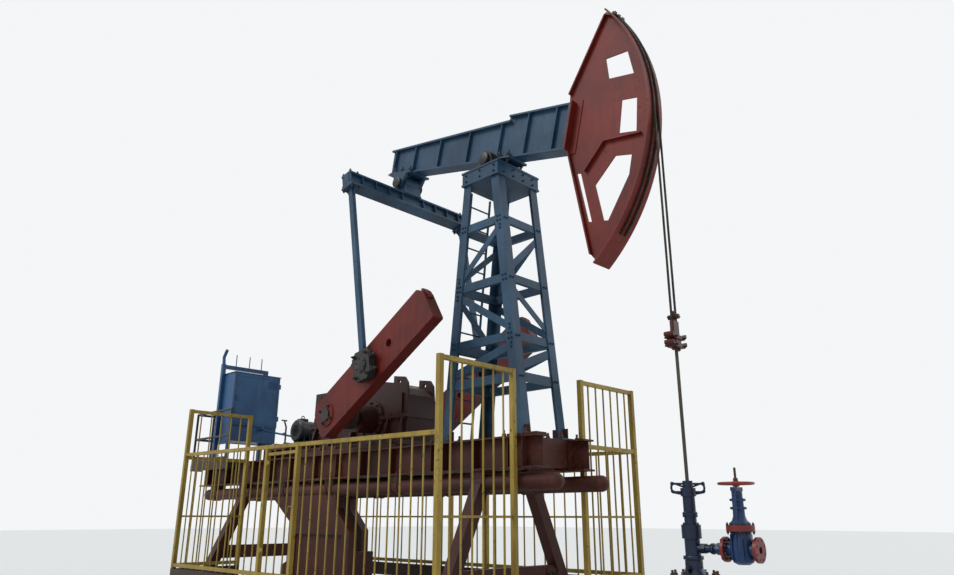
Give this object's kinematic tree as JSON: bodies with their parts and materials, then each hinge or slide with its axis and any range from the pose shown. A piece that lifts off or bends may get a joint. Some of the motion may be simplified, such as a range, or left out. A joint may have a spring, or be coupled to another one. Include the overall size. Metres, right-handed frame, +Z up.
{
  "type": "beam pumping unit",
  "caption": "Crank-balanced beam pump jack: rocking beam with horse head, pitmans, cranks, gearbox and motor on a raised base, with wellhead, cabinet and guard fence.",
  "frame": {"origin": "on the ground, at the middle of the whole length and width", "axes": "+X from the gearbox end towards the wellhead, +Y across the machine, to the belt side, +Z up"},
  "size_m": [10.329, 3.66, 7.675],
  "materials": {
    "weathered_steel_blue": "weathered matt paint",
    "red_brown_paint": "weathered matt paint",
    "dark_oxide_paint": "weathered matt paint with dirt and rust",
    "gearbox_casting": "painted casting, oily and dusty",
    "bearing_casting": "painted casting, greasy",
    "motor_paint": "semi-gloss paint, dusty",
    "fence_yellow": "matt paint, faded",
    "cabinet_blue": "satin paint",
    "rail_black": "matt paint",
    "bare_steel": "machined and oiled",
    "belt_rubber": "matt",
    "wire_rope": "greased wire rope",
    "wellhead_paint": "paint, scuffed",
    "wheel_red": "paint"
  },
  "bodies": {
    "base": {"base_legs": "dark_oxide_paint", "gearbox_pier": "dark_oxide_paint", "skid_pipes": "dark_oxide_paint", "main_frame": "dark_oxide_paint", "tower_legs": "weathered_steel_blue", "tower_bracing": "weathered_steel_blue", "tower_cap": "weathered_steel_blue", "ladder": "weathered_steel_blue", "saddle_bearings": "bearing_casting", "gearbox": "gearbox_casting", "gearbox_feet": "dark_oxide_paint", "motor": "motor_paint", "motor_base": "dark_oxide_paint", "drive_belts": "belt_rubber", "cabinet_shell": "cabinet_blue", "cabinet_posts": "cabinet_blue", "platform": "dark_oxide_paint", "platform_rail": "rail_black", "conduit": "cabinet_blue", "fence_rear": "fence_yellow", "fence_near": "fence_yellow", "fence_far": "fence_yellow", "fence_front": "fence_yellow", "wellhead_body": "wellhead_paint", "stuffing_box": "wellhead_paint", "gate_valve": "wellhead_paint"},
    "beam": {"walking_beam": "weathered_steel_blue", "saddle": "weathered_steel_blue", "tail_bracket": "weathered_steel_blue", "head_web": "red_brown_paint", "head_arc": "red_brown_paint", "ropes_on_head": "wire_rope"},
    "cranks": {"crank_shaft": "bare_steel", "crank_near": "red_brown_paint", "crank_far": "red_brown_paint"},
    "pitmans": {"equalizer": "weathered_steel_blue", "pitmans": "weathered_steel_blue", "pin_bearings": "dark_oxide_paint"},
    "rod_string": {"rod_carrier": "weathered_steel_blue", "polished_rod": "bare_steel", "ropes_straight": "wire_rope"},
    "input_shaft": {"input_sheave": "bare_steel"},
    "motor_shaft": {"motor_sheave": "bare_steel"},
    "valve_stem": {"valve_wheel": "wheel_red"},
    "door": {"cabinet_door": "cabinet_blue"}
  },
  "joints": [
    {"name": "crank_turn", "type": "hinge", "parent": "base", "child": "cranks", "pos_m": [-0.425, 0, 2.76], "axis": [0, 1, 0], "range_deg": [0, 84]},
    {"name": "beam_rock", "type": "hinge", "parent": "base", "child": "beam", "pos_m": [1.945, 0, 6.16], "axis": [0, -1, 0], "range_deg": [0, 38.8]},
    {"name": "pitman_swing", "type": "hinge", "parent": "beam", "child": "pitmans", "pos_m": [-0.105, 0, 6.53], "axis": [0, 1, 0], "range_deg": [0, 47.5]},
    {"name": "rod_slide", "type": "slide", "parent": "base", "child": "rod_string", "axis": [0, 0, 1], "range_m": [0, 1.7], "deforming": ["ropes_straight"]},
    {"name": "input_shaft_turn", "type": "hinge", "parent": "base", "child": "input_shaft", "pos_m": [-1.185, 0, 2.96], "axis": [0, 1, 0], "range_deg": [0, 3109]},
    {"name": "motor_shaft_turn", "type": "hinge", "parent": "base", "child": "motor_shaft", "pos_m": [-2.675, 0, 2.79], "axis": [0, 1, 0], "range_deg": [0, 11868.9]},
    {"name": "valve_turn", "type": "hinge", "parent": "base", "child": "valve_stem", "pos_m": [4.969, 0, 1.71], "axis": [0, 0, 1], "continuous": true},
    {"name": "door_swing", "type": "hinge", "parent": "base", "child": "door", "pos_m": [-4.359, 0.484, 3.49], "axis": [0, 0, 1], "range_deg": [0, 110]}
  ],
  "couplings": [
    {"joint": "beam_rock", "follows": "crank_turn", "ratio": 0.4611},
    {"joint": "pitman_swing", "follows": "crank_turn", "ratio": 0.5651},
    {"joint": "rod_slide", "follows": "crank_turn", "m_per_rad": 1.1592},
    {"joint": "input_shaft_turn", "follows": "crank_turn", "ratio": 37},
    {"joint": "motor_shaft_turn", "follows": "crank_turn", "ratio": 141.27}
  ]
}
